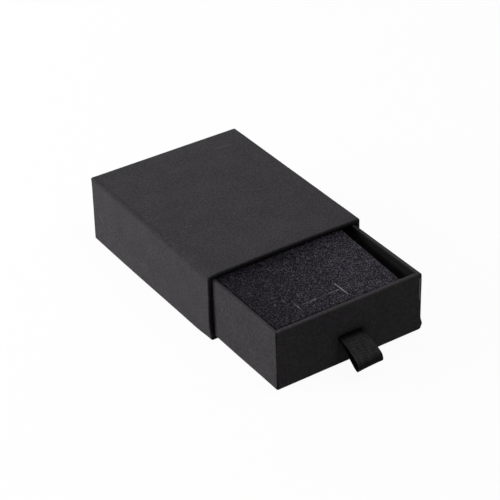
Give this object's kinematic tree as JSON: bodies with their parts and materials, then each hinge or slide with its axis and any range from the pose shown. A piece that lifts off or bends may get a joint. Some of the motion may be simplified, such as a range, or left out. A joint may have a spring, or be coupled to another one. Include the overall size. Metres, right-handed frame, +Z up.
{
  "type": "sliding drawer gift box",
  "caption": "Small rigid paper-covered box: an open-mouthed sleeve with a tray that slides out by a ribbon pull and holds a slit foam pad.",
  "frame": {"origin": "centre of the sleeve's underside, on the surface that the box stands on", "axes": "+Z up; +Y along the sleeve from its mouth to its closed back, so the tray slides out towards -Y; +X across the mouth, to the right when the mouth is looked into"},
  "size_m": [0.07, 0.1454, 0.0295],
  "materials": {
    "greyboard": "raw greyboard, matte",
    "tape": "kraft paper tape, matte",
    "covering_paper": "black covering paper, matte, fine felt grain",
    "tray_covering_paper": "black covering paper, matte, fine felt grain",
    "lining_paper": "black lining paper, matte",
    "foam": "open-cell foam with a fine nap, matte",
    "ribbon": "woven ribbon, soft sheen"
  },
  "bodies": {
    "sleeve": {"sleeve_top_board": "greyboard", "sleeve_bottom_board": "greyboard", "sleeve_left_board": "greyboard", "sleeve_right_board": "greyboard", "sleeve_back_board": "greyboard", "sleeve_corner_tapes": "tape", "sleeve_wrap": "covering_paper", "sleeve_lining": "lining_paper", "sleeve_underside_sheet": "covering_paper", "sleeve_back_sheet": "covering_paper"},
    "tray": {"tray_base_board": "greyboard", "tray_front_board": "greyboard", "tray_back_board": "greyboard", "tray_left_board": "greyboard", "tray_right_board": "greyboard", "tray_corner_tapes": "tape", "tray_wrap": "tray_covering_paper", "tray_lining": "lining_paper", "foam_pad": "foam", "ribbon_ends": "ribbon"},
    "pull": {"ribbon_loop": "ribbon"}
  },
  "joints": [
    {"name": "tray_slide", "type": "slide", "parent": "sleeve", "child": "tray", "axis": [0, -1, 0], "range_m": [-0.042, 0.058]},
    {"name": "ribbon_swing", "type": "hinge", "parent": "tray", "child": "pull", "pos_m": [0, -0.0875, 0.0131], "axis": [-1, 0, 0], "range_deg": [-25, 80], "stiffness_Nm_per_rad": 0.0001}
  ]
}
